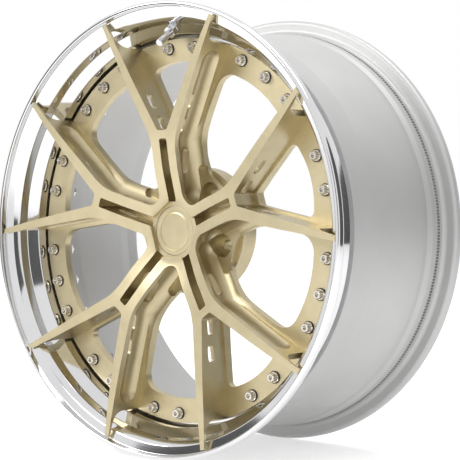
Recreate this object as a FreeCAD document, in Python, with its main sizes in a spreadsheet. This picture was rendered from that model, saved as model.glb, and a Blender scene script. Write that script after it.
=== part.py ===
import FreeCAD, Part
import Sketcher
import math
import os

# A three-piece forged car wheel: a milled centre disc with forked spokes, a polished
# outer lip and a spun inner barrel, clamped together by a ring of bolts.
# Depths are measured backwards from the front plane of the rim, radii from the wheel's axis.

doc = FreeCAD.newDocument("forged_wheel")
sheet = doc.addObject("Spreadsheet::Sheet", "Dims")

SIZES = [
    # Rim standard sizes
    ("overall_width", 254.0),
    ("flange_radius", 273.7),
    ("flange_width", 12.7),
    ("flange_height", 17.3),
    ("flange_round", 3.0),
    ("bead_round", 6.0),
    ("bead_seat_width", 22.0),
    ("bead_seat_rise", 1.9),
    ("well_drop", 12.6),
    # Polished lip, stepping inwards from the rim edge to the bolted joint
    ("edge_width", 5.7),
    ("edge_depth", 8.5),
    ("dish_width", 11.0),
    ("dish_drop", 3.0),
    ("roll_width", 6.0),
    ("roll_drop", 6.5),
    ("step_taper", 1.5),
    ("step_length", 11.0),
    ("cone_width", 11.0),
    ("cone_length", 11.0),
    ("wall_taper", 2.5),
    # Bolted joint
    ("ring_depth", 52.0),
    ("ring_thickness", 9.0),
    ("ring_gap", 2.0),
    ("ring_width", 27.0),
    ("joint_thickness", 6.0),
    ("joint_width", 24.0),
    ("bolt_circle", 222.8),
    ("fork_bolt_angle", 5.25),
    ("window_bolt_angle", 10.75),
    ("bolt_hole", 4.2),
    ("spotface_radius", 8.0),
    ("spotface_depth", 0.8),
    # Barrel
    ("barrel_wall", 5.0),
    ("slope_start", 40.0),
    ("slope_length", 90.0),
    ("slope_rise", 8.0),
    ("knurl_groove_width", 5.0),
    ("knurl_groove_depth", 0.8),
    ("knurl_groove_inset", 21.0),
    # Centre disc, turned form
    ("tip_clearance", 2.5),
    ("tip_depth", 4.0),
    ("tip_thickness", 3.2),
    ("hook_depth", 10.5),
    ("hook_round", 16.0),
    ("face_outer_radius", 190.0),
    ("face_outer_depth", 8.5),
    ("face_bend_radius", 115.0),
    ("face_bend_depth", 17.0),
    ("face_inner_radius", 75.0),
    ("face_inner_depth", 24.5),
    ("face_hub_radius", 40.0),
    ("face_hub_depth", 35.5),
    ("back_mid_radius", 150.0),
    ("back_mid_depth", 63.0),
    ("back_hub_radius", 96.0),
    ("back_hub_depth", 68.0),
    ("pad_radius", 78.0),
    ("mount_depth", 102.0),
    ("pad_shoulder_depth", 76.0),
    ("hub_bore", 33.3),
    ("hub_bore_end", 58.0),
    ("cap_bore", 30.0),
    # Centre disc, milled form
    ("pentagon_radius", 39.5),
    ("pentagon_depth", 40.0),
    ("rib_half_width", 18.5),
    ("rib_bend", 110.0),
    ("rib_bend_round", 70.0),
    ("valley_round", 15.0),
    ("arm_out_x", 89.0),
    ("arm_out_z", 250.0),
    ("arm_in_x", 60.0),
    ("arm_in_z", 214.0),
    ("tip_in_x", 82.5),
    ("tip_in_z", 251.0),
    ("crotch_half_width", 7.5),
    ("crotch_z", 121.0),
    ("crotch_round", 5.0),
    ("slot_half_width", 6.0),
    ("slot_end", 111.0),
    ("slot_depth", 57.0),
    ("window_side", 29.0),
    ("window_foot", 70.5),
    ("window_bend", 116.0),
    ("window_side_round", 60.0),
    ("window_shoulder_x", 66.0),
    ("window_shoulder_z", 192.0),
    ("window_corner_round", 22.0),
    ("fork_shoulder_x", 47.0),
    ("fork_shoulder_z", 197.0),
    ("fork_corner_round", 8.0),
    ("hub_floor_depth", 68.3),
    ("hub_floor_reach", 86.0),
    ("lug_circle", 56.0),
    ("lug_seat_radius", 14.0),
    ("lug_seat_depth", 78.0),
    ("lug_hole", 7.25),
    ("scallop_radius", 17.0),
    ("scallop_offset", 9.5),
    ("scallop_start", 50.0),
    ("scallop_start_depth", 52.0),
    ("scallop_bend_depth", 39.0),
    ("scallop_end_depth", 30.0),
    ("scallop_end_z", 196.0),
    ("arm_slot_length", 21.0),
    ("arm_slot_width", 10.5),
    ("arm_slot_inner_z", 127.0),
    ("arm_slot_outer_z", 155.0),
    ("arm_slot_depth", 29.5),
    ("rib_slot_length", 33.0),
    ("rib_slot_width", 12.0),
    ("rib_slot_z", 85.0),
    ("rib_slot_depth", 45.0),
    # Assembly bolts, washers and nuts
    ("shank_radius", 4.0),
    ("head_radius", 5.2),
    ("head_height", 6.0),
    ("head_flange_radius", 6.5),
    ("head_flange_height", 2.0),
    ("socket_radius", 2.6),
    ("socket_depth", 3.5),
    ("washer_radius", 7.4),
    ("washer_thickness", 1.2),
    ("nut_radius", 6.6),
    ("nut_height", 7.0),
    ("shank_stickout", 9.0),
    # Sealing bead in the well
    ("seal_width", 8.0),
    ("seal_height", 1.6),
    # Centre cap
    ("cap_radius", 29.7),
    ("cap_thickness", 4.0),
    ("cap_ring_radius", 23.0),
    ("cap_groove", 0.8),
    ("cap_skirt_radius", 27.5),
    ("cap_skirt_wall", 2.5),
    ("cap_skirt_length", 13.0),
    ("cap_wire", 1.0),
    # Tyre valve
    ("valve_tilt", 38.0),
    ("valve_seat_inset", 29.8),
    ("valve_seat_depth", 35.8),
    ("valve_hole", 5.7),
    ("valve_spotface", 9.0),
    ("valve_wall", 6.5),
    ("stem_radius", 4.0),
    ("stem_length", 30.0),
    ("stem_neck_radius", 3.2),
    ("stem_bore", 1.6),
    ("valve_head_radius", 8.5),
    ("valve_head_height", 3.5),
    ("valve_nut_radius", 7.0),
    ("valve_nut_height", 7.0),
    ("valve_washer_radius", 8.2),
    ("valve_washer_thickness", 1.5),
    ("grommet_radius", 8.0),
    ("grommet_height", 2.5),
    ("valve_cap_radius", 4.8),
    ("valve_cap_length", 11.0),
]
row = 1
for name, value in SIZES:
    sheet.set("A%d" % row, name)
    sheet.set("B%d" % row, "%s" % value)
    sheet.setAlias("B%d" % row, name)
    row += 1
doc.recompute()


def D(name):
    return "Dims." + name


def value(expression):
    result = sheet.evalExpression(expression)
    return float(getattr(result, "Value", result))


def new_body(name):
    body = doc.addObject("PartDesign::Body", name)
    return body


def new_sketch(body, name, role, offset=None):
    # offset holds expressions for the plane's own shift, keyed x, y, z or angle
    sketch = body.newObject("Sketcher::SketchObject", name)
    plane = [o for o in body.Origin.OriginFeatures if o.Role == role][0]
    sketch.AttachmentSupport = [(plane, "")]
    sketch.MapMode = "FlatFace"
    if offset:
        if "angle" in offset:
            axis = FreeCAD.Vector(offset.get("turn", 1), 0, 0)
            turn = FreeCAD.Rotation(axis, value(offset["angle"]))
            sketch.AttachmentOffset = FreeCAD.Placement(FreeCAD.Vector(0, 0, 0), turn)
            sketch.setExpression(".AttachmentOffset.Rotation.Angle", offset["angle"] + " * 1 deg")
        for key in ("x", "y", "z"):
            if key in offset:
                sketch.setExpression(".AttachmentOffset.Base.%s" % key, offset[key])
    return sketch


def bind(sketch, constraint, expression):
    index = sketch.addConstraint(constraint)
    sketch.setExpression("Constraints[%d]" % index, expression)


def outline(sketch, corners):
    # A closed outline through corners given as (x, y) or (x, y, round) expressions.
    # Rounded corners keep a construction point at the sharp corner, which carries the sizes.
    count = len(corners)
    points = []
    rounds = []
    for corner in corners:
        points.append(FreeCAD.Vector(value(corner[0]), value(corner[1]), 0))
        rounds.append(value(corner[2]) if len(corner) > 2 else 0.0)
    starts = []
    ends = []
    centres = []
    for i in range(count):
        here = points[i]
        to_last = (points[i - 1] - here).normalize()
        to_next = (points[(i + 1) % count] - here).normalize()
        if rounds[i] <= 0.0:
            starts.append(here)
            ends.append(here)
            centres.append(None)
            continue
        half = to_last.getAngle(to_next) / 2.0
        reach = rounds[i] / math.tan(half)
        bisector = (to_last + to_next).normalize()
        starts.append(here + to_last * reach)
        ends.append(here + to_next * reach)
        centres.append(here + bisector * (rounds[i] / math.sin(half)))
    lines = []
    for i in range(count):
        segment = Part.LineSegment(ends[i], starts[(i + 1) % count])
        lines.append(sketch.addGeometry(segment, False))
    for i in range(count):
        before = lines[i - 1]
        after = lines[i]
        if centres[i] is None:
            sketch.addConstraint(Sketcher.Constraint("Coincident", before, 2, after, 1))
            bind(sketch, Sketcher.Constraint("DistanceX", -1, 1, after, 1, points[i].x), corners[i][0])
            bind(sketch, Sketcher.Constraint("DistanceY", -1, 1, after, 1, points[i].y), corners[i][1])
            continue
        first = starts[i] - centres[i]
        last = ends[i] - centres[i]
        a0 = math.atan2(first.y, first.x)
        a1 = math.atan2(last.y, last.x)
        turn = (a1 - a0 + math.pi) % (2 * math.pi) - math.pi
        circle = Part.Circle(centres[i], FreeCAD.Vector(0, 0, 1), rounds[i])
        if turn > 0:
            arc = sketch.addGeometry(Part.ArcOfCircle(circle, a0, a0 + turn), False)
            arc_in, arc_out = 1, 2
        else:
            arc = sketch.addGeometry(Part.ArcOfCircle(circle, a0 + turn, a0), False)
            arc_in, arc_out = 2, 1
        corner = sketch.addGeometry(Part.Point(points[i]), True)
        sketch.addConstraint(Sketcher.Constraint("Tangent", before, 2, arc, arc_in))
        sketch.addConstraint(Sketcher.Constraint("Tangent", after, 1, arc, arc_out))
        sketch.addConstraint(Sketcher.Constraint("PointOnObject", corner, 1, before))
        sketch.addConstraint(Sketcher.Constraint("PointOnObject", corner, 1, after))
        bind(sketch, Sketcher.Constraint("DistanceX", -1, 1, corner, 1, points[i].x), corners[i][0])
        bind(sketch, Sketcher.Constraint("DistanceY", -1, 1, corner, 1, points[i].y), corners[i][1])
        bind(sketch, Sketcher.Constraint("Radius", arc, rounds[i]), corners[i][2])


def circles(sketch, places):
    # Circles given as (x, y, radius) expressions
    for x, y, radius in places:
        centre = FreeCAD.Vector(value(x), value(y), 0)
        circle = sketch.addGeometry(Part.Circle(centre, FreeCAD.Vector(0, 0, 1), value(radius)), False)
        bind(sketch, Sketcher.Constraint("DistanceX", -1, 1, circle, 3, centre.x), x)
        bind(sketch, Sketcher.Constraint("DistanceY", -1, 1, circle, 3, centre.y), y)
        bind(sketch, Sketcher.Constraint("Radius", circle, value(radius)), radius)


def revolve(body, name, corners):
    sketch = new_sketch(body, name + "_profile", "YZ_Plane")
    outline(sketch, corners)
    feature = body.newObject("PartDesign::Revolution", name)
    feature.Profile = sketch
    feature.ReferenceAxis = (sketch, ["H_Axis"])
    feature.Angle = 360.0
    doc.recompute()
    return feature


def pocket(body, name, sketch, depth=None, both_ways=False, forwards=False):
    feature = body.newObject("PartDesign::Pocket", name)
    feature.Profile = sketch
    feature.Reversed = forwards
    if both_ways:
        feature.SideType = "Symmetric"
    if depth:
        feature.Type = "Length"
        feature.setExpression("Length", depth)
    else:
        feature.Type = "ThroughAll"
    doc.recompute()
    return feature


def polar(body, name, originals):
    axis = [o for o in body.Origin.OriginFeatures if o.Role == "Y_Axis"][0]
    feature = body.newObject("PartDesign::PolarPattern", name)
    feature.Originals = originals
    feature.Axis = (axis, [""])
    feature.Angle = 360.0
    feature.Occurrences = 5
    body.Tip = feature
    doc.recompute()
    return feature


def at_wheel_centre(body):
    body.setExpression(".Placement.Base.y", "-" + D("overall_width") + " / 2")


def mirrored(x, z):
    # The same point on the neighbouring spoke, mirrored across the window between them
    return ("(%s) * sin(72 deg) - (%s) * cos(72 deg)" % (z, x),
            "(%s) * sin(72 deg) + (%s) * cos(72 deg)" % (x, z))


# Radii and depths shared by the pieces
R_EDGE = "(%s - %s)" % (D("flange_radius"), D("edge_width"))
R_DISH = "(%s - %s)" % (R_EDGE, D("dish_width"))
R_ROLL = "(%s - %s)" % (R_DISH, D("roll_width"))
R_STEP = "(%s - %s)" % (R_ROLL, D("step_taper"))
R_CONE = "(%s - %s)" % (R_STEP, D("cone_width"))
R_WALL = "(%s - %s)" % (R_CONE, D("wall_taper"))
D_DISH = "(%s + %s)" % (D("edge_depth"), D("dish_drop"))
D_ROLL = "(%s + %s)" % (D_DISH, D("roll_drop"))
D_STEP = "(%s + %s)" % (D_ROLL, D("step_length"))
D_CONE = "(%s + %s)" % (D_STEP, D("cone_length"))
D_RING = "(%s + %s)" % (D("ring_depth"), D("ring_thickness"))
D_JOINT = "(%s + %s)" % (D_RING, D("joint_thickness"))
D_BACK = "(%s + %s)" % (D_JOINT, D("joint_thickness"))
R_SEAT = "(%s - %s)" % (D("flange_radius"), D("flange_height"))
R_WELL = "(%s - %s)" % (R_SEAT, D("well_drop"))
R_RING = "(%s - %s)" % (R_WALL, D("ring_gap"))
R_RING_IN = "(%s - %s)" % (R_RING, D("ring_width"))
R_JOINT = "(%s - %s)" % (R_WALL, D("joint_width"))
R_TIP = "(%s - %s)" % (R_EDGE, D("tip_clearance"))

# Centre disc: the turned forging
disc = new_body("milled_disc")
revolve(disc, "turned_blank", [
    (D("face_hub_depth"), D("cap_bore")),
    (D("face_hub_depth"), D("face_hub_radius")),
    (D("face_inner_depth"), D("face_inner_radius"), "200"),
    (D("face_bend_depth"), D("face_bend_radius"), "300"),
    (D("face_outer_depth"), D("face_outer_radius"), "600"),
    (D("tip_depth"), R_TIP),
    (D("tip_depth") + " + " + D("tip_thickness"), R_TIP),
    (D("hook_depth"), R_RING, D("hook_round")),
    (D_RING, R_RING),
    (D_RING, R_RING_IN),
    (D("back_mid_depth"), D("back_mid_radius"), "200"),
    (D("back_hub_depth"), D("back_hub_radius"), "40"),
    (D("pad_shoulder_depth"), D("pad_radius"), "8"),
    (D("mount_depth"), D("pad_radius")),
    (D("mount_depth"), D("hub_bore")),
    (D("hub_bore_end"), D("hub_bore")),
    (D("hub_bore_end"), D("cap_bore")),
])

# Centre disc: the milled windows, forks, slots and holes of one spoke
APEX = "(%s / sin(36 deg))" % D("rib_half_width")
apex = (APEX + " * sin(36 deg)", APEX + " * cos(36 deg)", D("valley_round"))
bend = (D("rib_half_width"), D("rib_bend"))
arm_end = ("%s + 1.22 * (%s - %s)" % (D("rib_half_width"), D("arm_out_x"), D("rib_half_width")),
           "%s + 1.22 * (%s - %s)" % (D("rib_bend"), D("arm_out_z"), D("rib_bend")))
sketch = new_sketch(disc, "window_front_outline", "XZ_Plane")
outline(sketch, [
    apex,
    bend + (D("rib_bend_round"),),
    arm_end,
    mirrored(*arm_end),
    mirrored(*bend) + (D("rib_bend_round"),),
])
window_front = pocket(disc, "window_front", sketch, D("ring_depth"))

foot = (D("window_side"), D("window_foot"))
side = (D("window_side"), D("window_bend"))
shoulder = (D("window_shoulder_x"), D("window_shoulder_z"))
crown = "(%s / cos(7.75 deg))" % R_RING_IN
sketch = new_sketch(disc, "window_through_outline", "XZ_Plane")
outline(sketch, [
    foot + (D("valley_round"),),
    side + (D("window_side_round"),),
    shoulder + (D("window_corner_round"),),
    (crown + " * sin(36 deg)", crown + " * cos(36 deg)", "140"),
    mirrored(*shoulder) + (D("window_corner_round"),),
    mirrored(*side) + (D("window_side_round"),),
    mirrored(*foot) + (D("valley_round"),),
])
window_through = pocket(disc, "window_through", sketch, D("pad_shoulder_depth") + " + 0.5")

fork_end = ("2 * %s - %s" % (D("tip_in_x"), D("arm_in_x")), "2 * %s - %s" % (D("tip_in_z"), D("arm_in_z")))
sketch = new_sketch(disc, "fork_front_outline", "XZ_Plane")
outline(sketch, [
    (D("crotch_half_width"), D("crotch_z"), D("crotch_round")),
    (D("arm_in_x"), D("arm_in_z"), "120"),
    fork_end,
    ("-(%s)" % fork_end[0], fork_end[1]),
    ("-" + D("arm_in_x"), D("arm_in_z"), "120"),
    ("-" + D("crotch_half_width"), D("crotch_z"), D("crotch_round")),
])
fork_front = pocket(disc, "fork_front", sketch, D("ring_depth"))

sketch = new_sketch(disc, "fork_through_outline", "XZ_Plane")
outline(sketch, [
    (D("crotch_half_width"), D("crotch_z") + " + 5", D("crotch_round")),
    (D("fork_shoulder_x"), D("fork_shoulder_z"), D("fork_corner_round")),
    ("0", R_RING_IN + " * 1.02", "110"),
    ("-" + D("fork_shoulder_x"), D("fork_shoulder_z"), D("fork_corner_round")),
    ("-" + D("crotch_half_width"), D("crotch_z") + " + 5", D("crotch_round")),
])
fork_through = pocket(disc, "fork_through", sketch)

sketch = new_sketch(disc, "slot_outline", "XZ_Plane")
outline(sketch, [
    (D("slot_half_width"), D("pentagon_radius") + " - 4"),
    (D("slot_half_width"), D("slot_end"), "2.5"),
    ("-" + D("slot_half_width"), D("slot_end"), "2.5"),
    ("-" + D("slot_half_width"), D("pentagon_radius") + " - 4"),
])
slot = pocket(disc, "rib_slot", sketch, D("slot_depth"))

floor_side = (D("rib_half_width") + " + 1", D("hub_floor_reach"))
floor_apex = "((%s + 1) / sin(36 deg))" % D("rib_half_width")
sketch = new_sketch(disc, "hub_floor_outline", "XZ_Plane")
outline(sketch, [
    (floor_apex + " * sin(36 deg)", floor_apex + " * cos(36 deg)", D("valley_round") + " - 1"),
    floor_side + ("6",),
    mirrored(*floor_side) + ("6",),
])
hub_floor = pocket(disc, "hub_floor", sketch, D("hub_floor_depth"))

lug = (D("lug_circle") + " * sin(36 deg)", D("lug_circle") + " * cos(36 deg)")
sketch = new_sketch(disc, "lug_seat_outline", "XZ_Plane")
circles(sketch, [lug + (D("lug_seat_radius"),)])
lug_seat = pocket(disc, "lug_seat", sketch, D("lug_seat_depth"))
sketch = new_sketch(disc, "lug_hole_outline", "XZ_Plane")
circles(sketch, [lug + (D("lug_hole"),)])
lug_hole = pocket(disc, "lug_hole_through", sketch)

BOLT_ANGLES = [
    "-" + D("fork_bolt_angle"),
    D("fork_bolt_angle"),
    "36 - " + D("window_bolt_angle"),
    "36",
    "36 + " + D("window_bolt_angle"),
]


def bolt_places(radius):
    places = []
    for angle in BOLT_ANGLES:
        turn = "((%s) * 1 deg)" % angle
        places.append((D("bolt_circle") + " * sin" + turn, D("bolt_circle") + " * cos" + turn, radius))
    return places


sketch = new_sketch(disc, "bolt_hole_outline", "XZ_Plane")
circles(sketch, bolt_places(D("bolt_hole")))
bolt_holes = pocket(disc, "bolt_holes", sketch)
sketch = new_sketch(disc, "spotface_outline", "XZ_Plane")
circles(sketch, bolt_places(D("spotface_radius")))
spotfaces = pocket(disc, "spotfaces", sketch, D("ring_depth") + " + " + D("spotface_depth"))

polar(disc, "five_spokes", [window_front, window_through, fork_front, fork_through, slot,
                            hub_floor, lug_seat, lug_hole, bolt_holes, spotfaces])

# Centre disc: the five-sided recess around the cap
sketch = new_sketch(disc, "pentagon_outline", "XZ_Plane")
outline(sketch, [
    (D("pentagon_radius") + " * sin(%d deg)" % (72 * k), D("pentagon_radius") + " * cos(%d deg)" % (72 * k))
    for k in range(5)
])
pentagon = pocket(disc, "cap_recess", sketch, D("pentagon_depth"))

# Centre disc: the scallop milled along the window side of each arm, and the slots through it
ARM = "(atan2(%s - %s; %s - %s) / 1 deg)" % (D("arm_out_x"), D("rib_half_width"), D("arm_out_z"), D("rib_bend"))
lane = D("rib_half_width") + " + " + D("scallop_offset")
lane_bend = "(%s - %s * tan(%s / 2 * 1 deg))" % (D("rib_bend"), D("scallop_offset"), ARM)
lane_end_x = "%s + (%s - %s) * tan(%s * 1 deg)" % (lane, D("scallop_end_z"), lane_bend, ARM)
arm_along = " / cos(%s * 1 deg)" % ARM


def obround(sketch, places):
    # Long holes given as (x, y, length, width); the length runs along y
    for x, y, length, width in places:
        r = value(width) / 2.0
        cx = value(x)
        top = value(y) + value(length) / 2.0 - r
        low = value(y) - value(length) / 2.0 + r
        normal = FreeCAD.Vector(0, 0, 1)
        up = sketch.addGeometry(Part.ArcOfCircle(
            Part.Circle(FreeCAD.Vector(cx, top, 0), normal, r), 0, math.pi), False)
        down = sketch.addGeometry(Part.ArcOfCircle(
            Part.Circle(FreeCAD.Vector(cx, low, 0), normal, r), math.pi, 2 * math.pi), False)
        left = sketch.addGeometry(Part.LineSegment(
            FreeCAD.Vector(cx - r, top, 0), FreeCAD.Vector(cx - r, low, 0)), False)
        right = sketch.addGeometry(Part.LineSegment(
            FreeCAD.Vector(cx + r, low, 0), FreeCAD.Vector(cx + r, top, 0)), False)
        sketch.addConstraint(Sketcher.Constraint("Tangent", up, 2, left, 1))
        sketch.addConstraint(Sketcher.Constraint("Tangent", left, 2, down, 1))
        sketch.addConstraint(Sketcher.Constraint("Tangent", down, 2, right, 1))
        sketch.addConstraint(Sketcher.Constraint("Tangent", right, 2, up, 1))
        bind(sketch, Sketcher.Constraint("DistanceX", -1, 1, up, 3, cx), x)
        bind(sketch, Sketcher.Constraint("DistanceX", -1, 1, down, 3, cx), x)
        bind(sketch, Sketcher.Constraint("DistanceY", -1, 1, up, 3, top),
             "%s + (%s - %s) / 2" % (y, length, width))
        bind(sketch, Sketcher.Constraint("DistanceY", -1, 1, down, 3, low),
             "%s - (%s - %s) / 2" % (y, length, width))
        bind(sketch, Sketcher.Constraint("Radius", up, r), width + " / 2")


def mill_arm(tag, sign):
    # The two long holes through one arm; sign picks the side
    sketch = new_sketch(disc, "arm_slot_outline_" + tag, "YZ_Plane", {
        "y": D("rib_bend"),
        "z": "%s(%s - 8)" % (sign, D("rib_half_width")),
        "angle": ARM,
        "turn": -1 if sign else 1,
    })
    obround(sketch, [
        (D("arm_slot_depth") + " + 1.5", "(%s - %s)%s" % (D("arm_slot_inner_z"), D("rib_bend"), arm_along),
         D("arm_slot_length"), D("arm_slot_width")),
        (D("arm_slot_depth") + " - 1", "(%s - %s)%s" % (D("arm_slot_outer_z"), D("rib_bend"), arm_along),
         D("arm_slot_length"), D("arm_slot_width")),
    ])
    slots = pocket(disc, "arm_slots_" + tag, sketch, "44", True)
    return slots


right_slots = mill_arm("right", "")
left_slots = mill_arm("left", "-")
sketch = new_sketch(disc, "rib_side_slot_outline", "YZ_Plane")
obround(sketch, [(D("rib_slot_depth"), D("rib_slot_z"), D("rib_slot_length"), D("rib_slot_width"))])
rib_side_slot = pocket(disc, "rib_side_slots", sketch, "2.4 * " + D("rib_half_width"), True)
polar(disc, "ten_arms", [right_slots, left_slots, rib_side_slot])
at_wheel_centre(disc)


def scallop_cutter():
    # The path of the round-nosed cutter: up one rib, rising with the face, then up the arm
    radius = value(D("scallop_radius"))
    start = FreeCAD.Vector(value(lane), value(D("scallop_start_depth")), value(D("scallop_start")))
    bend_point = FreeCAD.Vector(value(lane), value(D("scallop_bend_depth")), value(lane_bend))
    end = FreeCAD.Vector(value(lane_end_x), value(D("scallop_end_depth")), value(D("scallop_end_z")))
    cuts = []
    for first, last in ((start, bend_point), (bend_point, end)):
        along = last - first
        cuts.append(Part.makeCylinder(radius, along.Length, first, along))
        cuts.append(Part.makeSphere(radius, last, along))
    cuts.append(Part.makeSphere(radius, start, bend_point - start))
    return cuts[0].fuse(cuts[1:]).removeSplitter()


# Centre disc: the scallop along the window side of every arm, cut by a round-nosed tool
one_cutter = scallop_cutter()
cutters = []
for spoke in range(5):
    for cutter in (one_cutter, one_cutter.mirror(FreeCAD.Vector(0, 0, 0), FreeCAD.Vector(1, 0, 0))):
        turned_cutter = cutter.copy()
        turned_cutter.rotate(FreeCAD.Vector(0, 0, 0), FreeCAD.Vector(0, 1, 0), 72.0 * spoke)
        cutters.append(turned_cutter)
scallop_tools = doc.addObject("Part::Feature", "scallop_tools")
scallop_tools.Shape = cutters[0].fuse(cutters[1:])
at_wheel_centre(scallop_tools)
scalloped = doc.addObject("Part::Cut", "centre_disc")
scalloped.Base = disc
scalloped.Tool = scallop_tools
doc.recompute()

# Outer lip: spun and polished outer half, with its bolted joint flange
lip = new_body("outer_lip")
revolve(lip, "lip_turned", [
    ("0", D("flange_radius"), D("flange_round")),
    ("0", R_EDGE, "1.5"),
    (D("edge_depth"), R_EDGE, "1.5"),
    (D_DISH, R_DISH, "3"),
    (D_ROLL, R_ROLL, "4"),
    (D_STEP, R_STEP, "3"),
    (D_CONE, R_CONE, "4"),
    (D_RING, R_WALL),
    (D_RING, R_JOINT),
    (D_JOINT, R_JOINT),
    (D_JOINT, R_WELL),
    (D_CONE + " + 8", R_WELL, "6"),
    (D("flange_width") + " + " + D("bead_seat_width"), R_SEAT + " - " + D("bead_seat_rise"), "3"),
    (D("flange_width"), R_SEAT, D("bead_round")),
    (D("flange_width"), D("flange_radius"), D("flange_round") + " + 2"),
])
sketch = new_sketch(lip, "lip_bolt_outline", "XZ_Plane")
circles(sketch, bolt_places(D("bolt_hole")))
lip_holes = pocket(lip, "lip_bolt_holes", sketch)
polar(lip, "lip_five_groups", [lip_holes])
valve_plane = {
    "y": "%s - %s" % (D("flange_radius"), D("valve_seat_inset")),
    "z": "-" + D("valve_seat_depth"),
    "angle": D("valve_tilt"),
}
sketch = new_sketch(lip, "valve_hole_outline", "XZ_Plane", valve_plane)
circles(sketch, [("0", "0", D("valve_hole"))])
pocket(lip, "valve_hole_through", sketch, "50", True)
sketch = new_sketch(lip, "valve_spot_outline", "XZ_Plane", valve_plane)
circles(sketch, [("0", "0", D("valve_spotface"))])
pocket(lip, "valve_spotface_cut", sketch, "20", forwards=True)
sketch = new_sketch(lip, "valve_back_outline", "XZ_Plane", {
    "y": "%s + %s * sin(%s * 1 deg)" % (valve_plane["y"], D("valve_wall"), D("valve_tilt")),
    "z": "%s - %s * cos(%s * 1 deg)" % (valve_plane["z"], D("valve_wall"), D("valve_tilt")),
    "angle": valve_plane["angle"],
})
circles(sketch, [("0", "0", D("valve_head_radius") + " + 1")])
pocket(lip, "valve_back_cut", sketch, "25")
at_wheel_centre(lip)

# Inner barrel: the deep inner half with the rear flange
W = D("overall_width")
REAR = "(%s - %s)" % (W, D("flange_width"))
barrel = new_body("inner_barrel")
R_SLOPE = "(%s + %s)" % (R_WELL, D("slope_rise"))
D_SLOPE = "(%s + %s)" % (D_BACK, D("slope_start"))
D_TOP = "(%s + %s)" % (D_SLOPE, D("slope_length"))
D_SEAT = "(%s - %s)" % (REAR, D("bead_seat_width"))
GROOVE_1 = "(%s - %s - %s)" % (W, D("knurl_groove_inset"), D("knurl_groove_width"))
GROOVE_2 = "(%s - %s)" % (W, D("knurl_groove_inset"))
SEAT_LOW = "(%s - %s)" % (R_SEAT, D("bead_seat_rise"))


def seat_radius(depth):
    return "(%s + %s * (%s - %s) / %s)" % (SEAT_LOW, D("bead_seat_rise"), depth, D_SEAT, D("bead_seat_width"))


revolve(barrel, "barrel_turned", [
    (D_JOINT, R_WELL),
    (D_JOINT, R_JOINT),
    (D_BACK, R_JOINT),
    (D_BACK, R_WELL + " - " + D("barrel_wall"), "4"),
    (D_SLOPE, R_WELL + " - " + D("barrel_wall"), "60"),
    (D_TOP, R_SLOPE + " - " + D("barrel_wall"), "60"),
    (D_SEAT, SEAT_LOW + " - " + D("barrel_wall"), "8"),
    (REAR, SEAT_LOW + " - " + D("barrel_wall"), "8"),
    (W + " - " + D("edge_depth"), R_EDGE, "3"),
    (W, R_EDGE, "1.5"),
    (W, D("flange_radius"), D("flange_round")),
    (REAR, D("flange_radius"), D("flange_round") + " + 2"),
    (REAR, R_SEAT, D("bead_round")),
    (GROOVE_2, seat_radius(GROOVE_2)),
    (GROOVE_2, seat_radius(GROOVE_2) + " - " + D("knurl_groove_depth")),
    (GROOVE_1, seat_radius(GROOVE_1) + " - " + D("knurl_groove_depth")),
    (GROOVE_1, seat_radius(GROOVE_1)),
    (D_SEAT, SEAT_LOW, "3"),
    (D_SEAT + " - 8", R_SLOPE, "6"),
    (D_TOP, R_SLOPE, "60"),
    (D_SLOPE, R_WELL, "60"),
])
sketch = new_sketch(barrel, "barrel_bolt_outline", "XZ_Plane")
circles(sketch, bolt_places(D("bolt_hole")))
barrel_holes = pocket(barrel, "barrel_bolt_holes", sketch)
polar(barrel, "barrel_five_groups", [barrel_holes])
at_wheel_centre(barrel)

# Sealing bead laid in the well over the joint
seal = new_body("rim_seal")
revolve(seal, "seal_bead", [
    (D_JOINT + " - " + D("seal_width") + " / 2", R_WELL),
    (D_JOINT + " + " + D("seal_width") + " / 2", R_WELL),
    (D_JOINT + " + " + D("seal_width") + " / 4", R_WELL + " + " + D("seal_height")),
    (D_JOINT + " - " + D("seal_width") + " / 4", R_WELL + " + " + D("seal_height")),
])
at_wheel_centre(seal)

# Assembly bolts, washers and nuts: one master of each, set round the joint
D_SPOT = "(%s + %s)" % (D("ring_depth"), D("spotface_depth"))
D_HEAD = "(%s - %s)" % (D_SPOT, D("washer_thickness"))
D_COLLAR = "(%s - %s)" % (D_HEAD, D("head_flange_height"))
D_TOPHEAD = "(%s - %s)" % (D_COLLAR, D("head_height"))
bolt = new_body("bolt_master")
revolve(bolt, "bolt_turned", [
    (D_TOPHEAD + " + " + D("socket_depth"), "0"),
    (D_TOPHEAD + " + " + D("socket_depth"), D("socket_radius")),
    (D_TOPHEAD, D("socket_radius")),
    (D_TOPHEAD, D("head_radius"), "0.8"),
    (D_COLLAR, D("head_radius")),
    (D_COLLAR, D("head_flange_radius")),
    (D_HEAD, D("head_flange_radius")),
    (D_HEAD, D("shank_radius")),
    (D_BACK + " + " + D("shank_stickout"), D("shank_radius")),
    (D_BACK + " + " + D("shank_stickout"), "0"),
])
washer = new_body("washer_master")
revolve(washer, "washer_turned", [
    (D_HEAD, D("bolt_hole")),
    (D_HEAD, D("washer_radius"), "0.4"),
    (D_SPOT, D("washer_radius")),
    (D_SPOT, D("bolt_hole")),
])
nut = new_body("nut_master")
sketch = new_sketch(nut, "nut_hexagon", "XZ_Plane", {"z": "-" + D_BACK})
outline(sketch, [
    (D("nut_radius") + " / cos(30 deg) * sin(%d deg)" % (60 * k),
     D("nut_radius") + " / cos(30 deg) * cos(%d deg)" % (60 * k)) for k in range(6)
])
circles(sketch, [("0", "0", D("shank_radius"))])
nut_pad = nut.newObject("PartDesign::Pad", "nut_pad")
nut_pad.Profile = sketch
nut_pad.Reversed = True
nut_pad.setExpression("Length", D("nut_height"))
doc.recompute()


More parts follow.
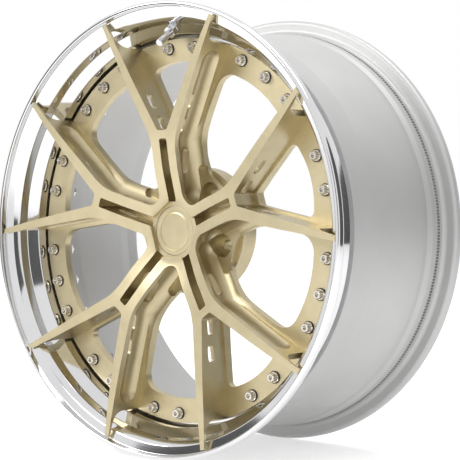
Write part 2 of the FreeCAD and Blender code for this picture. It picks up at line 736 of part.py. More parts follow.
def ring_of(name, master):
    # Twenty-five copies of a master on the bolt circle
    copies = []
    radius = value(D("bolt_circle"))
    shift = -value(D("overall_width")) / 2.0
    for spoke in range(5):
        for angle in BOLT_ANGLES:
            turn = math.radians(value(angle) + 72.0 * spoke)
            place = FreeCAD.Vector(radius * math.sin(turn), shift, radius * math.cos(turn))
            spin = FreeCAD.Rotation(FreeCAD.Vector(0, 1, 0), math.degrees(turn))
            copies.append(master.Shape.copy())
            copies[-1].Placement = FreeCAD.Placement(place, spin)
    group = doc.addObject("Part::Feature", name)
    group.Shape = Part.makeCompound(copies)
    return group


bolts = ring_of("assembly_bolts", bolt)
washers = ring_of("assembly_washers", washer)
nuts = ring_of("assembly_nuts", nut)

# Centre cap with its skirt and the spring wire that holds it
D_CAP = D("pentagon_depth")
cap = new_body("centre_cap")
R_GROOVE = D("cap_ring_radius")
wire_mid = "(%s + %s - 3)" % (D_CAP, D("cap_skirt_length"))
revolve(cap, "cap_turned", [
    (D_CAP, "0"),
    (D_CAP, R_GROOVE),
    (D_CAP + " + " + D("cap_groove"), R_GROOVE),
    (D_CAP + " + " + D("cap_groove"), R_GROOVE + " + 0.9"),
    (D_CAP, R_GROOVE + " + 0.9"),
    (D_CAP, D("cap_radius"), "0.8"),
    (D_CAP + " + " + D("cap_thickness"), D("cap_radius")),
    (D_CAP + " + " + D("cap_thickness"), D("cap_skirt_radius")),
    (wire_mid + " - " + D("cap_wire"), D("cap_skirt_radius")),
    (wire_mid + " - " + D("cap_wire"), D("cap_skirt_radius") + " - " + D("cap_wire")),
    (wire_mid + " + " + D("cap_wire"), D("cap_skirt_radius") + " - " + D("cap_wire")),
    (wire_mid + " + " + D("cap_wire"), D("cap_skirt_radius")),
    (D_CAP + " + " + D("cap_skirt_length"), D("cap_skirt_radius")),
    (D_CAP + " + " + D("cap_skirt_length"), D("cap_skirt_radius") + " - " + D("cap_skirt_wall")),
    (D_CAP + " + " + D("cap_thickness"), D("cap_skirt_radius") + " - " + D("cap_skirt_wall")),
    (D_CAP + " + " + D("cap_thickness"), "0"),
])
at_wheel_centre(cap)
wire = doc.addObject("Part::Torus", "cap_retaining_ring")
wire.setExpression("Radius1", D("cap_bore") + " - " + D("cap_wire"))
wire.setExpression("Radius2", D("cap_wire"))
wire.Placement = FreeCAD.Placement(FreeCAD.Vector(0, 0, 0), FreeCAD.Rotation(FreeCAD.Vector(1, 0, 0), 90))
wire.setExpression(".Placement.Base.y", "%s - %s / 2" % (wire_mid, W))


# Tyre valve: every piece is turned about the valve's own axis, seat plane at nought
def on_valve(body):
    body.Placement = FreeCAD.Placement(
        FreeCAD.Vector(0, 0, 0), FreeCAD.Rotation(FreeCAD.Vector(1, 0, 0), value(D("valve_tilt"))))
    body.setExpression(".Placement.Rotation.Angle", D("valve_tilt") + " * 1 deg")
    body.setExpression(".Placement.Base.y", "%s - %s / 2" % (D("valve_seat_depth"), W))
    body.setExpression(".Placement.Base.z", "%s - %s" % (D("flange_radius"), D("valve_seat_inset")))


SEAT = "0"
NUT_BACK = "(-%s)" % D("valve_washer_thickness")
NUT_FRONT = "(%s - %s)" % (NUT_BACK, D("valve_nut_height"))
STEM_TIP = "(-%s)" % D("stem_length")
HEAD_IN = "(%s + %s)" % (D("valve_wall"), D("grommet_height"))
stem = new_body("valve_stem")
revolve(stem, "stem_turned", [
    (STEM_TIP, D("stem_bore")),
    (STEM_TIP, D("stem_neck_radius")),
    (STEM_TIP + " + 9", D("stem_neck_radius")),
    (STEM_TIP + " + 9", D("stem_radius")),
    (HEAD_IN, D("stem_radius")),
    (HEAD_IN, D("valve_head_radius")),
    (HEAD_IN + " + " + D("valve_head_height"), D("valve_head_radius"), "1"),
    (HEAD_IN + " + " + D("valve_head_height"), D("stem_bore")),
])
on_valve(stem)
valve_nut = new_body("valve_nut")
sketch = new_sketch(valve_nut, "valve_hexagon", "XZ_Plane", {"z": "-" + NUT_FRONT})
outline(sketch, [
    (D("valve_nut_radius") + " / cos(30 deg) * sin(%d deg)" % (60 * k),
     D("valve_nut_radius") + " / cos(30 deg) * cos(%d deg)" % (60 * k)) for k in range(6)
])
circles(sketch, [("0", "0", D("stem_radius"))])
pad = valve_nut.newObject("PartDesign::Pad", "valve_nut_pad")
pad.Profile = sketch
pad.Reversed = True
pad.setExpression("Length", D("valve_nut_height"))
doc.recompute()
on_valve(valve_nut)
valve_washer = new_body("valve_washer")
revolve(valve_washer, "valve_washer_turned", [
    (NUT_BACK, D("stem_radius")),
    (NUT_BACK, D("valve_washer_radius"), "0.5"),
    (SEAT, D("valve_washer_radius")),
    (SEAT, D("stem_radius")),
])
on_valve(valve_washer)
grommet = new_body("valve_grommet")
revolve(grommet, "grommet_turned", [
    ("1", D("stem_radius")),
    ("1", D("valve_hole")),
    (D("valve_wall"), D("valve_hole")),
    (D("valve_wall"), D("grommet_radius")),
    (HEAD_IN, D("grommet_radius")),
    (HEAD_IN, D("stem_radius")),
])
on_valve(grommet)
core = new_body("valve_core")
revolve(core, "core_turned", [
    (STEM_TIP + " + 1", "0"),
    (STEM_TIP + " + 1", D("stem_bore")),
    (STEM_TIP + " + 24", D("stem_bore")),
    (STEM_TIP + " + 24", "0"),
])
on_valve(core)
valve_cap = new_body("valve_cap")
CAP_TIP = "(%s - 2)" % STEM_TIP
revolve(valve_cap, "valve_cap_turned", [
    (CAP_TIP, "0"),
    (CAP_TIP, D("valve_cap_radius"), "1.2"),
    (CAP_TIP + " + " + D("valve_cap_length"), D("valve_cap_radius")),
    (CAP_TIP + " + " + D("valve_cap_length"), D("stem_neck_radius")),
    (STEM_TIP, D("stem_neck_radius")),
    (STEM_TIP, "0"),
])
on_valve(valve_cap)

doc.recompute()

NODES = [scalloped, lip, barrel, seal, bolts, washers, nuts, cap, wire, stem, valve_nut, valve_washer,
         grommet, core, valve_cap]
faults = [o.Name for o in doc.Objects if "Invalid" in o.State or "Error" in o.State]
faults += [o.Name for o in NODES if o.Shape.isNull() or not o.Shape.isValid()]
if faults:
    raise ValueError("faulty objects: " + ", ".join(faults))
os.makedirs("parts", exist_ok=True)
for node in NODES:
    node.Shape.exportStep("parts/%s.step" % node.Name)
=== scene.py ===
import math
import bmesh
import bpy
from mathutils import Matrix, Vector


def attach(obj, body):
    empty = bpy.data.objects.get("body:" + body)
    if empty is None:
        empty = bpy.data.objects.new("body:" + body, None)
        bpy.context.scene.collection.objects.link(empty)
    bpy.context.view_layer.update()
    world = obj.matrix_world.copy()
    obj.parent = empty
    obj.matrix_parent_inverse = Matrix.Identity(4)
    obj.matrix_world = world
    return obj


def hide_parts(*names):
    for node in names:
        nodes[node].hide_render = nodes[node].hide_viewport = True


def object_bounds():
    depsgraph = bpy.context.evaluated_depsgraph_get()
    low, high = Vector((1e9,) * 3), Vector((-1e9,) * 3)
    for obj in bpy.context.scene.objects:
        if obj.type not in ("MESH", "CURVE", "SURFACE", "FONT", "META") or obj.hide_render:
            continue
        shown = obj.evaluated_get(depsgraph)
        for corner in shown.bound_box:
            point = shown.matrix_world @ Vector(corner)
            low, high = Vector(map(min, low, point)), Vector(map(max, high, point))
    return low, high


# The wheel as the machine shop delivers it: every solid of the assembly, bolted up,
# with its axis along Y and the styled face looking along -Y.
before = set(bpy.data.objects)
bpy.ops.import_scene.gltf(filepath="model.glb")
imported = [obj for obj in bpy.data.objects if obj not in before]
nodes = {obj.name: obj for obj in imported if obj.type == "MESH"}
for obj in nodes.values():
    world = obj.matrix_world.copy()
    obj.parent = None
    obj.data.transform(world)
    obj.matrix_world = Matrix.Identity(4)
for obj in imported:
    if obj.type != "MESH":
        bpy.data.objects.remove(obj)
cad_low, cad_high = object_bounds()
MM = 0.001


# Centre disc. One aluminium forging, turned and then milled into five forked spokes,
# glass-blasted and anodised champagne gold. The cutter leaves a fine broken edge everywhere.
def finish_nodes(name):
    """A fresh metal finish; gives back its tree, its shader and the object coordinates."""
    material = bpy.data.materials.new(name)
    material.use_nodes = True
    tree = material.node_tree
    shader = tree.nodes["Principled BSDF"]
    place = tree.nodes.new("ShaderNodeTexCoord")
    return material, tree, shader, place.outputs["Object"]


def mottled_colour(tree, shader, place, scale, dark, light):
    """Colour that drifts a little between two shades, as anodising does."""
    noise = tree.nodes.new("ShaderNodeTexNoise")
    noise.inputs["Scale"].default_value = scale
    noise.inputs["Detail"].default_value = 6.0
    tree.links.new(place, noise.inputs["Vector"])
    ramp = tree.nodes.new("ShaderNodeValToRGB")
    ramp.color_ramp.elements[0].position = 0.3
    ramp.color_ramp.elements[0].color = dark + (1.0,)
    ramp.color_ramp.elements[1].position = 0.7
    ramp.color_ramp.elements[1].color = light + (1.0,)
    tree.links.new(noise.outputs["Fac"], ramp.inputs["Fac"])
    tree.links.new(ramp.outputs["Color"], shader.inputs["Base Color"])


def grain(tree, shader, place, scale, low_rough, high_rough, height):
    """Blasted grain: fine noise in the roughness and in the bump."""
    noise = tree.nodes.new("ShaderNodeTexNoise")
    noise.inputs["Scale"].default_value = scale
    noise.inputs["Detail"].default_value = 4.0
    tree.links.new(place, noise.inputs["Vector"])
    spread = tree.nodes.new("ShaderNodeMapRange")
    spread.inputs["To Min"].default_value = low_rough
    spread.inputs["To Max"].default_value = high_rough
    tree.links.new(noise.outputs["Fac"], spread.inputs["Value"])
    tree.links.new(spread.outputs["Result"], shader.inputs["Roughness"])
    bump = tree.nodes.new("ShaderNodeBump")
    bump.inputs["Strength"].default_value = height
    bump.inputs["Distance"].default_value = 0.0003
    tree.links.new(noise.outputs["Fac"], bump.inputs["Height"])
    tree.links.new(bump.outputs["Normal"], shader.inputs["Normal"])


gold, gold_tree, gold_shader, gold_place = finish_nodes("champagne_anodised")
gold_shader.inputs["Metallic"].default_value = 1.0
mottled_colour(gold_tree, gold_shader, gold_place, 60.0, (0.54, 0.467, 0.30), (0.60, 0.522, 0.34))
grain(gold_tree, gold_shader, gold_place, 1400.0, 0.34, 0.46, 0.10)


def dressed_copy(node, name, edge):
    """The node's own solid with welded corners, a broken edge and clean shading."""
    mesh = nodes[node].data.copy()
    mesh.name = name
    shell = bmesh.new()
    shell.from_mesh(mesh)
    bmesh.ops.remove_doubles(shell, verts=shell.verts, dist=0.00002)
    bmesh.ops.dissolve_limit(shell, angle_limit=math.radians(0.6), verts=shell.verts, edges=shell.edges)
    for face in shell.faces:
        face.smooth = True
    for line in shell.edges:
        if len(line.link_faces) == 2:
            line.smooth = line.calc_face_angle() < math.radians(28)
    shell.to_mesh(mesh)
    shell.free()
    mesh.materials.clear()
    piece = bpy.data.objects.new(name, mesh)
    bpy.context.scene.collection.objects.link(piece)
    bevel = piece.modifiers.new("broken_edge", "BEVEL")
    bevel.width = edge
    bevel.segments = 2
    bevel.limit_method = "ANGLE"
    bevel.angle_limit = math.radians(40)
    return piece


DISC_EDGE = 0.5 * MM
disc = dressed_copy("centre_disc", "forked_centre", DISC_EDGE)
disc.data.materials.append(gold)
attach(disc, "root")
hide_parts("centre_disc")


# Outer lip. Spun aluminium, stepped down from the rim edge to the joint flange and
# polished to a mirror on a lathe, which leaves very fine rings.
def rounded(corners):
    """Corner points (depth, radius, round) in millimetres, with the rounds drawn as arcs."""
    points = []
    count = len(corners)
    for i, (depth, radius, turn) in enumerate(corners):
        here = Vector((depth, radius))
        if not turn:
            points.append(here)
            continue
        back = (Vector(corners[i - 1][:2]) - here).normalized()
        ahead = (Vector(corners[(i + 1) % count][:2]) - here).normalized()
        half = back.angle(ahead) / 2
        reach = turn / math.tan(half)
        hub = here + (back + ahead).normalized() * (turn / math.sin(half))
        start = here + back * reach - hub
        stop = here + ahead * reach - hub
        sweep = start.angle_signed(stop)
        steps = max(3, int(abs(sweep) / math.radians(9)))
        for step in range(steps + 1):
            points.append(hub + Matrix.Rotation(-sweep * step / steps, 2) @ start)
    return points


def turned(name, corners, segments=256):
    """A solid of revolution about the wheel's axis; depth is measured from the front plane."""
    points = rounded(corners)
    shell = bmesh.new()
    rings = []
    for s in range(segments):
        angle = 2 * math.pi * s / segments
        ring = []
        for depth, radius in points:
            ring.append(shell.verts.new((
                radius * MM * math.sin(angle),
                cad_low[1] + depth * MM,
                radius * MM * math.cos(angle),
            )))
        rings.append(ring)
    count = len(points)
    for s in range(segments):
        this = rings[s]
        other = rings[(s + 1) % segments]
        for i in range(count):
            j = (i + 1) % count
            shell.faces.new((this[i], this[j], other[j], other[i]))
    bmesh.ops.remove_doubles(shell, verts=shell.verts, dist=0.000002)
    bmesh.ops.recalc_face_normals(shell, faces=shell.faces)
    for face in shell.faces:
        face.smooth = True
    for line in shell.edges:
        if len(line.link_faces) == 2:
            line.smooth = line.calc_face_angle() < math.radians(25)
    mesh = bpy.data.meshes.new(name)
    shell.to_mesh(mesh)
    shell.free()
    piece = bpy.data.objects.new(name, mesh)
    bpy.context.scene.collection.objects.link(piece)
    return piece


def lathe_rings(tree, shader, place, pitch, low_rough, high_rough, height):
    """Fine turning rings that follow the radius and the depth, in roughness and bump."""
    split = tree.nodes.new("ShaderNodeSeparateXYZ")
    tree.links.new(place, split.inputs["Vector"])
    join = tree.nodes.new("ShaderNodeCombineXYZ")
    radial = tree.nodes.new("ShaderNodeVectorMath")
    radial.operation = "LENGTH"
    flat = tree.nodes.new("ShaderNodeCombineXYZ")
    tree.links.new(split.outputs["X"], flat.inputs["X"])
    tree.links.new(split.outputs["Z"], flat.inputs["Y"])
    tree.links.new(flat.outputs["Vector"], radial.inputs[0])
    tree.links.new(radial.outputs["Value"], join.inputs["X"])
    tree.links.new(split.outputs["Y"], join.inputs["Y"])
    noise = tree.nodes.new("ShaderNodeTexNoise")
    noise.inputs["Scale"].default_value = pitch
    noise.inputs["Detail"].default_value = 3.0
    tree.links.new(join.outputs["Vector"], noise.inputs["Vector"])
    spread = tree.nodes.new("ShaderNodeMapRange")
    spread.inputs["To Min"].default_value = low_rough
    spread.inputs["To Max"].default_value = high_rough
    tree.links.new(noise.outputs["Fac"], spread.inputs["Value"])
    tree.links.new(spread.outputs["Result"], shader.inputs["Roughness"])
    bump = tree.nodes.new("ShaderNodeBump")
    bump.inputs["Strength"].default_value = height
    bump.inputs["Distance"].default_value = 0.0002
    tree.links.new(noise.outputs["Fac"], bump.inputs["Height"])
    tree.links.new(bump.outputs["Normal"], shader.inputs["Normal"])


WIDTH = (cad_high[1] - cad_low[1]) / MM
FLANGE = cad_high[0] / MM
EDGE = FLANGE - 5.7
SEAT = FLANGE - 17.3
WELL = SEAT - 12.6
RING_BACK = 61.0
JOINT = 67.0
JOINT_INNER = 212.2
LIP_WALL = 236.0
lip = turned("polished_lip", [
    (0.0, FLANGE, 3.0),
    (0.0, EDGE, 1.5),
    (8.5, EDGE, 1.5),
    (11.5, EDGE - 11.0, 3.0),
    (18.0, EDGE - 17.0, 4.0),
    (29.0, EDGE - 18.5, 3.0),
    (40.0, EDGE - 29.5, 4.0),
    (RING_BACK, LIP_WALL, 0),
    (RING_BACK, JOINT_INNER, 0),
    (JOINT, JOINT_INNER, 0),
    (JOINT, WELL, 0),
    (48.0, WELL, 6.0),
    (34.7, SEAT - 1.9, 3.0),
    (12.7, SEAT, 6.0),
    (12.7, FLANGE, 5.0),
], 320)
polish, polish_tree, polish_shader, polish_place = finish_nodes("mirror_polish")
polish_shader.inputs["Metallic"].default_value = 1.0
mottled_colour(polish_tree, polish_shader, polish_place, 9.0, (0.68, 0.68, 0.69), (0.75, 0.75, 0.76))
lathe_rings(polish_tree, polish_shader, polish_place, 2600.0, 0.05, 0.10, 0.02)
lip.data.materials.append(polish)
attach(lip, "root")
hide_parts("outer_lip")

# Inner barrel. Spun from sheet to the deep inner half, left with a brushed satin skin.
# A band of serrations on the rear bead seat keeps the tyre from slipping.
BARREL_WALL = 5.0
BACK = 73.0
SLOPE = BACK + 40.0
TOP = SLOPE + 90.0
REAR = WIDTH - 12.7
SEAT_START = REAR - 22.0
SEAT_LOW = SEAT - 1.9
KNURL_BACK = WIDTH - 21.0
KNURL_FRONT = KNURL_BACK - 5.0
KNURL_SINK = 0.8


def seat_radius(depth):
    return SEAT_LOW + 1.9 * (depth - SEAT_START) / 22.0


barrel = turned("spun_barrel", [
    (JOINT, WELL, 0),
    (JOINT, JOINT_INNER, 0),
    (BACK, JOINT_INNER, 0),
    (BACK, WELL - BARREL_WALL, 4.0),
    (SLOPE, WELL - BARREL_WALL, 60.0),
    (TOP, WELL + 8.0 - BARREL_WALL, 60.0),
    (SEAT_START, SEAT_LOW - BARREL_WALL, 8.0),
    (REAR, SEAT_LOW - BARREL_WALL, 8.0),
    (WIDTH - 8.5, EDGE, 3.0),
    (WIDTH, EDGE, 1.5),
    (WIDTH, FLANGE, 3.0),
    (REAR, FLANGE, 5.0),
    (REAR, SEAT, 6.0),
    (KNURL_BACK, seat_radius(KNURL_BACK), 0),
    (KNURL_BACK, seat_radius(KNURL_BACK) - KNURL_SINK, 0),
    (KNURL_FRONT, seat_radius(KNURL_FRONT) - KNURL_SINK, 0),
    (KNURL_FRONT, seat_radius(KNURL_FRONT), 0),
    (SEAT_START, SEAT_LOW, 3.0),
    (SEAT_START - 8.0, WELL + 8.0, 6.0),
    (TOP, WELL + 8.0, 60.0),
    (SLOPE, WELL, 60.0),
], 288)
satin, satin_tree, satin_shader, satin_place = finish_nodes("brushed_satin")
satin_shader.inputs["Metallic"].default_value = 0.65
mottled_colour(satin_tree, satin_shader, satin_place, 7.0, (0.56, 0.56, 0.555), (0.62, 0.62, 0.615))
lathe_rings(satin_tree, satin_shader, satin_place, 1500.0, 0.46, 0.60, 0.06)
barrel.data.materials.append(satin)
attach(barrel, "root")
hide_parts("inner_barrel")

# Serrated teeth standing in the groove of the rear bead seat, rolled in by a knurling wheel.
TEETH = 420
knurl_shell = bmesh.new()
for tooth in range(TEETH):
    angle = 2 * math.pi * tooth / TEETH
    half = 2 * math.pi / TEETH * 0.36
    corners = []
    for turn, lift in ((-half, -0.1), (half, -0.1), (0.0, KNURL_SINK)):
        for depth in (KNURL_FRONT + 0.1, KNURL_BACK - 0.1):
            radius = (seat_radius(depth) - KNURL_SINK + lift) * MM
            corners.append(knurl_shell.verts.new((
                radius * math.sin(angle + turn),
                cad_low[1] + depth * MM,
                radius * math.cos(angle + turn),
            )))
    a0, a1, b0, b1, c0, c1 = corners
    for face in ((a0, a1, c1, c0), (c0, c1, b1, b0), (b0, b1, a1, a0), (a0, c0, b0), (a1, b1, c1)):
        knurl_shell.faces.new(face)
bmesh.ops.recalc_face_normals(knurl_shell, faces=knurl_shell.faces)
knurl_mesh = bpy.data.meshes.new("bead_serrations")
knurl_shell.to_mesh(knurl_mesh)
knurl_shell.free()
knurl = bpy.data.objects.new("bead_serrations", knurl_mesh)
bpy.context.scene.collection.objects.link(knurl)
# The teeth are the barrel's own metal; their dark colour is painted shade of the crevices between the teeth
# in the groove.
knurl_shade, knurl_shade_tree, knurl_shade_shader, knurl_shade_place = finish_nodes("serration_painted_shade")
knurl_shade_shader.inputs["Metallic"].default_value = 1.0
mottled_colour(knurl_shade_tree, knurl_shade_shader, knurl_shade_place, 300.0, (0.20, 0.20, 0.21), (0.30, 0.30, 0.31))
grain(knurl_shade_tree, knurl_shade_shader, knurl_shade_place, 900.0, 0.45, 0.6, 0.1)
knurl.data.materials.append(knurl_shade)
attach(knurl, "root")

# Sealing bead. A line of grey silicone run round the well, over the joint of lip and barrel.
sealant, sealant_tree, sealant_shader, sealant_place = finish_nodes("cured_silicone")
mottled_colour(sealant_tree, sealant_shader, sealant_place, 40.0, (0.34, 0.34, 0.34), (0.42, 0.42, 0.42))
grain(sealant_tree, sealant_shader, sealant_place, 300.0, 0.4, 0.6, 0.3)
nodes["rim_seal"].data.materials.clear()
nodes["rim_seal"].data.materials.append(sealant)

# Assembly bolts. Polished steel bolts with a round flange, a twelve-point head and a
# recessed nose, set in threes in the windows and in pairs inside the forks.
BOLT_CIRCLE = 222.8
BOLT_SEAT = 51.6
FLANGE_HEIGHT = 2.0
HEAD_HEIGHT = 6.0
HEAD_TOP = FLANGE_HEIGHT + HEAD_HEIGHT
SHANK_END = -30.4
SHANK_RADIUS = 4.0
FLANGE_EDGE = 6.5
BOLT_ANGLES = (-5.25, 5.25, 25.25, 36.0, 46.75)


def bolt_rings():
    """Rings of a bolt from the shank end to the bottom of the recess: (height, radii)."""
    around = 48

    def plain(radius):
        return [radius] * around

    star = [5.35 if (i // 2) % 2 else 4.75 for i in range(around)]
    return [
        (SHANK_END, plain(0.0)),
        (SHANK_END, plain(SHANK_RADIUS)),
        (0.0, plain(SHANK_RADIUS)),
        (0.0, plain(FLANGE_EDGE - 0.2)),
        (0.3, plain(FLANGE_EDGE)),
        (FLANGE_HEIGHT - 0.5, plain(FLANGE_EDGE)),
        (FLANGE_HEIGHT, plain(FLANGE_EDGE - 0.5)),
        (FLANGE_HEIGHT, star),
        (HEAD_TOP - 0.8, star),
        (HEAD_TOP, [r - 0.7 for r in star]),
        (HEAD_TOP, plain(2.9)),
        (HEAD_TOP - 0.4, plain(2.6)),
        (HEAD_TOP - 3.5, plain(2.4)),
        (HEAD_TOP - 3.5, plain(0.0)),
    ]


bolt_shell = bmesh.new()
for spoke in range(5):
    for offset in BOLT_ANGLES:
        turn = math.radians(72.0 * spoke + offset)
        centre = Vector((BOLT_CIRCLE * math.sin(turn), 0.0, BOLT_CIRCLE * math.cos(turn)))
        rings = []
        for height, radii in bolt_rings():
            ring = []
            for i, radius in enumerate(radii):
                angle = turn + 2 * math.pi * i / len(radii)
                spot = centre + Vector((radius * math.sin(angle), 0.0, radius * math.cos(angle)))
                ring.append(bolt_shell.verts.new((
                    spot.x * MM, cad_low[1] + (BOLT_SEAT - height) * MM, spot.z * MM)))
            rings.append(ring)
        for low, high in zip(rings, rings[1:]):
            for i in range(len(low)):
                j = (i + 1) % len(low)
                bolt_shell.faces.new((low[i], low[j], high[j], high[i]))
bmesh.ops.remove_doubles(bolt_shell, verts=bolt_shell.verts, dist=0.000005)
bmesh.ops.recalc_face_normals(bolt_shell, faces=bolt_shell.faces)
for face in bolt_shell.faces:
    face.smooth = True
for line in bolt_shell.edges:
    if len(line.link_faces) == 2:
        line.smooth = line.calc_face_angle() < math.radians(25)
bolt_mesh = bpy.data.meshes.new("twelve_point_bolts")
bolt_shell.to_mesh(bolt_mesh)
bolt_shell.free()
bolts = bpy.data.objects.new("twelve_point_bolts", bolt_mesh)
bpy.context.scene.collection.objects.link(bolts)
steel, steel_tree, steel_shader, steel_place = finish_nodes("polished_bolt_steel")
steel_shader.inputs["Metallic"].default_value = 1.0
mottled_colour(steel_tree, steel_shader, steel_place, 500.0, (0.62, 0.59, 0.54), (0.74, 0.71, 0.66))
grain(steel_tree, steel_shader, steel_place, 900.0, 0.16, 0.28, 0.05)
bolts.data.materials.append(steel)
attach(bolts, "root")
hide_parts("assembly_bolts")

# Washers and nuts. The washers sit in spot faces under the heads and are coloured near-black as painted
# shade of the spot-face recesses, and plain hexagon nuts pull the barrel's flange up from behind.
recess_shade, recess_shade_tree, recess_shade_shader, recess_shade_place = finish_nodes("painted_recess_shade")
recess_shade_shader.inputs["Metallic"].default_value = 1.0
mottled_colour(recess_shade_tree, recess_shade_shader, recess_shade_place, 400.0, (0.07, 0.066, 0.06), (0.12, 0.11, 0.10))
grain(recess_shade_tree, recess_shade_shader, recess_shade_place, 900.0, 0.35, 0.5, 0.1)
for node, material in (("assembly_washers", recess_shade), ("assembly_nuts", steel), ("cap_retaining_ring", steel)):
    nodes[node].data.materials.clear()
    nodes[node].data.materials.append(material)

# Centre cap. A turned aluminium cap in the disc's own finish, bare on its face inside a
# ring groove, pressed into the five-sided recess and held there by a spring ring.
CAP_FACE = 40.0
cap = turned("plain_centre_cap", [
    (CAP_FACE + 0.35, 0.0, 0),
    (CAP_FACE, 21.0, 0.4),
    (CAP_FACE + 0.9, 22.6, 0.3),
    (CAP_FACE + 0.9, 23.6, 0.3),
    (CAP_FACE, 24.2, 0.3),
    (CAP_FACE, 29.7, 0.7),
    (CAP_FACE + 4.0, 29.7, 0),
    (CAP_FACE + 4.0, 27.5, 0),
    (CAP_FACE + 13.0, 27.5, 0),
    (CAP_FACE + 13.0, 25.0, 0),
    (CAP_FACE + 4.0, 25.0, 0),
    (CAP_FACE + 4.0, 0.0, 0),
], 160)
cap.data.materials.append(gold)
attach(cap, "root")
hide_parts("centre_cap")

# Tyre valve. A chromed brass stem clamped through the lip by a hexagon nut over a
# washer, sealed by a rubber grommet behind, with a knurled cap on its nose.
bright, bright_tree, bright_shader, bright_place = finish_nodes("bright_chrome")
bright_shader.inputs["Metallic"].default_value = 1.0
mottled_colour(bright_tree, bright_shader, bright_place, 200.0, (0.62, 0.62, 0.63), (0.74, 0.74, 0.75))
grain(bright_tree, bright_shader, bright_place, 1200.0, 0.06, 0.14, 0.02)
rubber, rubber_tree, rubber_shader, rubber_place = finish_nodes("black_rubber")
mottled_colour(rubber_tree, rubber_shader, rubber_place, 300.0, (0.012, 0.012, 0.012), (0.03, 0.03, 0.03))
grain(rubber_tree, rubber_shader, rubber_place, 700.0, 0.6, 0.8, 0.3)
brass, brass_tree, brass_shader, brass_place = finish_nodes("machined_brass")
brass_shader.inputs["Metallic"].default_value = 1.0
mottled_colour(brass_tree, brass_shader, brass_place, 300.0, (0.55, 0.40, 0.17), (0.68, 0.51, 0.24))
grain(brass_tree, brass_shader, brass_place, 800.0, 0.2, 0.35, 0.05)
for node, material in (("valve_stem", bright), ("valve_nut", bright), ("valve_washer", bright),
                       ("valve_cap", bright), ("valve_grommet", rubber), ("valve_core", brass)):
    nodes[node].data.materials.clear()
    nodes[node].data.materials.append(material)

# Studio. A pale floor under the wheel, a soft key light from the front left, and four grey
# flags out of the picture that give the polished lip and the spoke walls their dark bands.
FLOOR_SIZE = 16.0
FLOOR_DROP = 0.5 * MM
FLOOR_GLOW = 0.5
FLAG_GREY = (0.14, 0.14, 0.14, 1.0)
WHITE = (1.0, 1.0, 1.0, 1.0)
SKY_FILL = 0.6
bpy.ops.mesh.primitive_plane_add(size=FLOOR_SIZE, location=(0.0, 0.0, cad_low[2] - FLOOR_DROP))
floor = bpy.context.object
floor.name = "studio_floor"
floor_paint, floor_tree, floor_shader, _ = finish_nodes("pale_floor")
floor_shader.inputs["Base Color"].default_value = (0.9, 0.9, 0.9, 1.0)
floor_shader.inputs["Roughness"].default_value = 0.9
floor_shader.inputs["Specular IOR Level"].default_value = 0.0
floor_shader.inputs["Emission Color"].default_value = WHITE
floor_rays = floor_tree.nodes.new("ShaderNodeLightPath")
floor_either = floor_tree.nodes.new("ShaderNodeMath")
floor_either.operation = "MAXIMUM"
floor_every = floor_tree.nodes.new("ShaderNodeMath")
floor_every.operation = "MAXIMUM"
floor_glow = floor_tree.nodes.new("ShaderNodeMath")
floor_glow.operation = "MULTIPLY"
floor_glow.inputs[1].default_value = FLOOR_GLOW
floor_tree.links.new(floor_rays.outputs["Is Camera Ray"], floor_either.inputs[0])
floor_tree.links.new(floor_rays.outputs["Is Glossy Ray"], floor_either.inputs[1])
floor_tree.links.new(floor_either.outputs[0], floor_every.inputs[0])
floor_tree.links.new(floor_rays.outputs["Is Transmission Ray"], floor_every.inputs[1])
floor_tree.links.new(floor_every.outputs[0], floor_glow.inputs[0])
floor_tree.links.new(floor_glow.outputs[0], floor_shader.inputs["Emission Strength"])
floor.data.materials.append(floor_paint)

flag_paint, _, flag_shader, _ = finish_nodes("grey_flag")
flag_shader.inputs["Base Color"].default_value = FLAG_GREY
flag_shader.inputs["Roughness"].default_value = 1.0
flag_shader.inputs["Specular IOR Level"].default_value = 0.0


def flag(name, place, look_at, width, height):
    mesh = bpy.data.meshes.new(name)
    w, h = width / 2, height / 2
    mesh.from_pydata([(-w, -h, 0), (w, -h, 0), (w, h, 0), (-w, h, 0)], [], [(0, 1, 2, 3)])
    card = bpy.data.objects.new(name, mesh)
    bpy.context.scene.collection.objects.link(card)
    card.location = place
    card.rotation_euler = (Vector(look_at) - Vector(place)).to_track_quat("Z", "Y").to_euler()
    card.data.materials.append(flag_paint)
    card.visible_camera = False


flag("right_flag", (2.6, 1.9, 0.6), (0.0, 0.0, 0.0), 2.6, 2.4)
flag("camera_side_flag", (1.9, -2.9, 0.4), (0.0, 0.0, 0.0), 1.5, 2.0)
flag("front_left_flag", (-3.0, -2.6, -0.1), (0.0, 0.0, 0.0), 1.3, 2.2)
flag("high_flag", (-1.2, -3.6, 3.4), (0.0, 0.0, 0.0), 2.6, 1.0)


def lamp(name, place, size, power):
    light = bpy.data.lights.new(name, "AREA")
    light.shape = "SQUARE"
    light.size = size
    light.energy = power
    holder = bpy.data.objects.new(name, light)
    bpy.context.scene.collection.objects.link(holder)
    holder.location = place
    holder.rotation_euler = (-Vector(place)).to_track_quat("-Z", "Y").to_euler()


lamp("key_light", (-1.8, -2.6, 2.0), 1.8, 60.0)
lamp("top_light", (0.8, 0.3, 3.0), 2.0, 40.0)

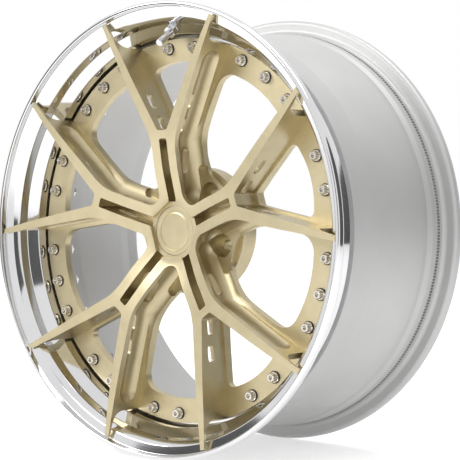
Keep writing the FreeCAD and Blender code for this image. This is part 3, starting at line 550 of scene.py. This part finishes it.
world = bpy.data.worlds.new("white_studio")
bpy.context.scene.world = world
world.use_nodes = True
sky = world.node_tree
sky.nodes.clear()
sky_out = sky.nodes.new("ShaderNodeOutputWorld")
seen = sky.nodes.new("ShaderNodeBackground")
seen.inputs["Color"].default_value = WHITE
fill = sky.nodes.new("ShaderNodeBackground")
fill.inputs["Color"].default_value = WHITE
fill.inputs["Strength"].default_value = SKY_FILL
rays = sky.nodes.new("ShaderNodeLightPath")
either = sky.nodes.new("ShaderNodeMath")
either.operation = "MAXIMUM"
every = sky.nodes.new("ShaderNodeMath")
every.operation = "MAXIMUM"
sky.links.new(rays.outputs["Is Camera Ray"], either.inputs[0])
sky.links.new(rays.outputs["Is Glossy Ray"], either.inputs[1])
sky.links.new(either.outputs[0], every.inputs[0])
sky.links.new(rays.outputs["Is Transmission Ray"], every.inputs[1])
blend = sky.nodes.new("ShaderNodeMixShader")
sky.links.new(every.outputs[0], blend.inputs[0])
sky.links.new(fill.outputs[0], blend.inputs[1])
sky.links.new(seen.outputs[0], blend.inputs[2])
sky.links.new(blend.outputs[0], sky_out.inputs["Surface"])

# Camera. The photograph's own view: forty degrees round to the right, level with the hub.
PHOTO_SIZE = 460.0
FOCAL_PIXELS = 1497.2
CAMERA_DISTANCE = 1.8825
AZIMUTH = math.radians(40.107)
ELEVATION = math.radians(0.529)
WHEEL_TURN = math.radians(0.5)
CENTRE_PIXEL = (220.43, 230.27)
lens = bpy.data.cameras.new("photo_camera")
lens.sensor_width = 36.0
lens.lens = FOCAL_PIXELS / PHOTO_SIZE * lens.sensor_width
lens.shift_x = (PHOTO_SIZE / 2 - CENTRE_PIXEL[0]) / PHOTO_SIZE
lens.shift_y = (CENTRE_PIXEL[1] - PHOTO_SIZE / 2) / PHOTO_SIZE
camera = bpy.data.objects.new("photo_camera", lens)
bpy.context.scene.collection.objects.link(camera)
view_from = Vector((
    math.sin(AZIMUTH) * math.cos(ELEVATION),
    -math.cos(AZIMUTH) * math.cos(ELEVATION),
    math.sin(ELEVATION),
)) * CAMERA_DISTANCE
aim = (-view_from).to_track_quat("-Z", "Y").to_matrix().to_4x4()
camera.matrix_world = Matrix.Rotation(-WHEEL_TURN, 4, "Y") @ Matrix.Translation(view_from) @ aim
bpy.context.scene.camera = camera
bpy.context.scene.view_settings.view_transform = "Standard"

bpy.context.view_layer.update()
